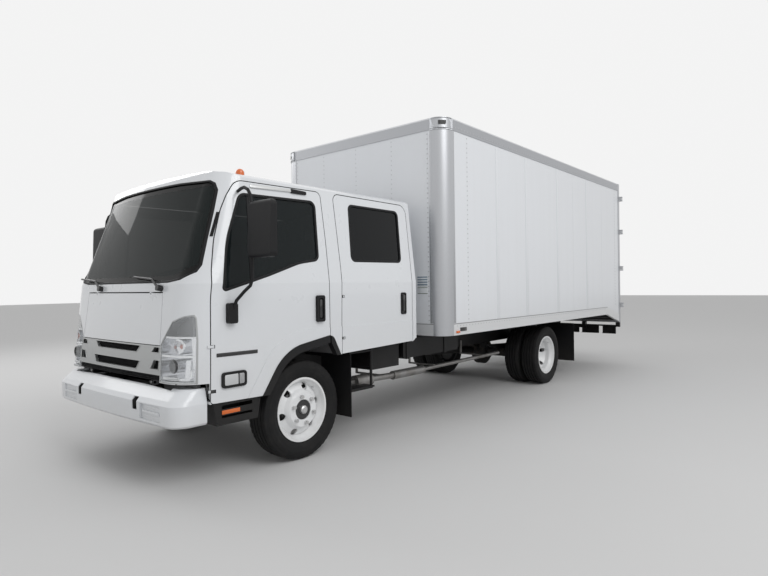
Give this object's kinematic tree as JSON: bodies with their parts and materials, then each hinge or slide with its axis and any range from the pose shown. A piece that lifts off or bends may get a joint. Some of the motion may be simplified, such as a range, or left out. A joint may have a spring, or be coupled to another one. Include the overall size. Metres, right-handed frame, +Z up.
{
  "type": "box truck",
  "caption": "Low-cab-forward crew-cab truck with a dry freight box and sloping tail, tilting cab, hinged doors, steering front wheels and twin rear wheels.",
  "frame": {"origin": "on the ground below the middle of the truck's bounding box", "axes": "+X to the vehicle's left, -Y towards the front, +Z up"},
  "size_m": [2.784, 8.4, 3.1369],
  "materials": {
    "cab_paint": "gloss white paint",
    "box_white": "satin white sheet",
    "box_alu": "satin",
    "frame_black": "satin black",
    "black_plastic": "grained black",
    "silver_plastic": "silver",
    "lamp_body": "bright",
    "lamp_lens": "clear",
    "amber_lens": "amber",
    "red_lens": "red",
    "window": "tinted",
    "tyre": "matte",
    "wheel_white": "white paint",
    "cast": "dull",
    "exhaust_steel": "dull",
    "seat_cloth": "grey cloth",
    "floor_wood": "dull"
  },
  "bodies": {
    "chassis": {"frame_rails": "frame_black", "engine_block": "cast", "fuel_tank": "frame_black", "exhaust_system": "exhaust_steel", "battery_box": "black_plastic", "front_axle_beam": "cast", "rear_axle_housing": "cast", "leaf_springs": "frame_black", "drive_shaft": "frame_black", "front_bumper": "cab_paint", "crew_steps": "frame_black", "mud_flaps": "black_plastic", "underride_guard": "frame_black", "box_floor": "floor_wood", "box_walls": "box_white", "box_corner_posts": "box_alu", "box_roof": "box_alu", "box_rails": "box_alu", "rear_door_frame": "box_alu", "tail_lamps": "red_lens"},
    "cargo_leaf_left": {"cargo_door_left": "box_white"},
    "cargo_leaf_right": {"cargo_door_right": "box_white"},
    "cab": {"cab_shell": "cab_paint", "cab_glass": "window", "front_grille": "silver_plastic", "grille_mesh": "black_plastic", "headlamps": "lamp_body", "headlamp_lenses": "lamp_lens", "dashboard": "black_plastic", "steering_wheel": "black_plastic", "cab_seats": "seat_cloth", "wipers": "black_plastic", "cab_steps": "black_plastic", "cab_side_trim": "black_plastic", "roof_marker_lamps": "amber_lens"},
    "service_lid": {"front_panel": "cab_paint"},
    "front_leaf_left": {"front_door_left": "cab_paint", "front_door_glass_left": "window", "front_door_trim_left": "black_plastic", "mirror_left": "black_plastic"},
    "front_leaf_right": {"front_door_right": "cab_paint", "front_door_glass_right": "window", "front_door_trim_right": "black_plastic", "mirror_right": "black_plastic"},
    "crew_leaf_left": {"crew_door_left": "cab_paint", "crew_door_glass_left": "window"},
    "crew_leaf_right": {"crew_door_right": "cab_paint", "crew_door_glass_right": "window"},
    "steer_left": {"knuckle_left": "cast"},
    "steer_right": {"knuckle_right": "cast"},
    "track_rod": {"tie_rod": "frame_black"},
    "wheel_front_left": {"front_tyre_left": "tyre", "front_wheel_left": "wheel_white"},
    "wheel_front_right": {"front_tyre_right": "tyre", "front_wheel_right": "wheel_white"},
    "wheels_rear_left": {"rear_tyres_left": "tyre", "rear_wheels_left": "wheel_white"},
    "wheels_rear_right": {"rear_tyres_right": "tyre", "rear_wheels_right": "wheel_white"}
  },
  "joints": [
    {"name": "cab_tilt", "type": "hinge", "parent": "chassis", "child": "cab", "pos_m": [0, -4.061, 0.73], "axis": [1, 0, 0], "range_deg": [0, 40]},
    {"name": "front_door_left_swing", "type": "hinge", "parent": "cab", "child": "front_leaf_left", "pos_m": [0.997, -3.883, 1], "axis": [0, 0, -1], "range_deg": [0, 70]},
    {"name": "front_door_right_swing", "type": "hinge", "parent": "cab", "child": "front_leaf_right", "pos_m": [-0.997, -3.883, 1], "axis": [0, 0, 1], "range_deg": [0, 70]},
    {"name": "crew_door_left_swing", "type": "hinge", "parent": "cab", "child": "crew_leaf_left", "pos_m": [1.004, -2.595, 1.1], "axis": [0, 0, -1], "range_deg": [0, 70]},
    {"name": "crew_door_right_swing", "type": "hinge", "parent": "cab", "child": "crew_leaf_right", "pos_m": [-1.004, -2.595, 1.1], "axis": [0, 0, 1], "range_deg": [0, 70]},
    {"name": "service_lid_lift", "type": "hinge", "parent": "cab", "child": "service_lid", "pos_m": [0, -4.045, 1.3785], "axis": [-1, 0, 0], "range_deg": [0, 55]},
    {"name": "cargo_door_left_swing", "type": "hinge", "parent": "chassis", "child": "cargo_leaf_left", "pos_m": [1.249, 4.186, 1.9], "axis": [0, 0, -1], "range_deg": [0, 270]},
    {"name": "cargo_door_right_swing", "type": "hinge", "parent": "chassis", "child": "cargo_leaf_right", "pos_m": [-1.249, 4.186, 1.9], "axis": [0, 0, 1], "range_deg": [0, 270]},
    {"name": "steering_left", "type": "hinge", "parent": "chassis", "child": "steer_left", "pos_m": [0.7, -3.018, 0.4035], "axis": [0, 0, 1], "range_deg": [-36, 36]},
    {"name": "steering_right", "type": "hinge", "parent": "chassis", "child": "steer_right", "pos_m": [-0.7, -3.018, 0.4035], "axis": [0, 0, 1], "range_deg": [-36, 36]},
    {"name": "track_rod_pivot", "type": "hinge", "parent": "steer_left", "child": "track_rod", "pos_m": [0.7, -2.828, 0.356], "axis": [0, 0, 1], "range_deg": [-36, 36]},
    {"name": "wheel_front_left_spin", "type": "hinge", "parent": "steer_left", "child": "wheel_front_left", "pos_m": [0.845, -3.018, 0.4035], "axis": [1, 0, 0], "continuous": true},
    {"name": "wheel_front_right_spin", "type": "hinge", "parent": "steer_right", "child": "wheel_front_right", "pos_m": [-0.845, -3.018, 0.4035], "axis": [1, 0, 0], "continuous": true},
    {"name": "wheels_rear_left_spin", "type": "hinge", "parent": "chassis", "child": "wheels_rear_left", "pos_m": [0.826, 1.452, 0.4035], "axis": [1, 0, 0], "continuous": true},
    {"name": "wheels_rear_right_spin", "type": "hinge", "parent": "chassis", "child": "wheels_rear_right", "pos_m": [-0.826, 1.452, 0.4035], "axis": [1, 0, 0], "continuous": true}
  ],
  "couplings": [
    {"joint": "steering_right", "follows": "steering_left", "ratio": 1},
    {"joint": "track_rod_pivot", "follows": "steering_left", "ratio": -1}
  ]
}
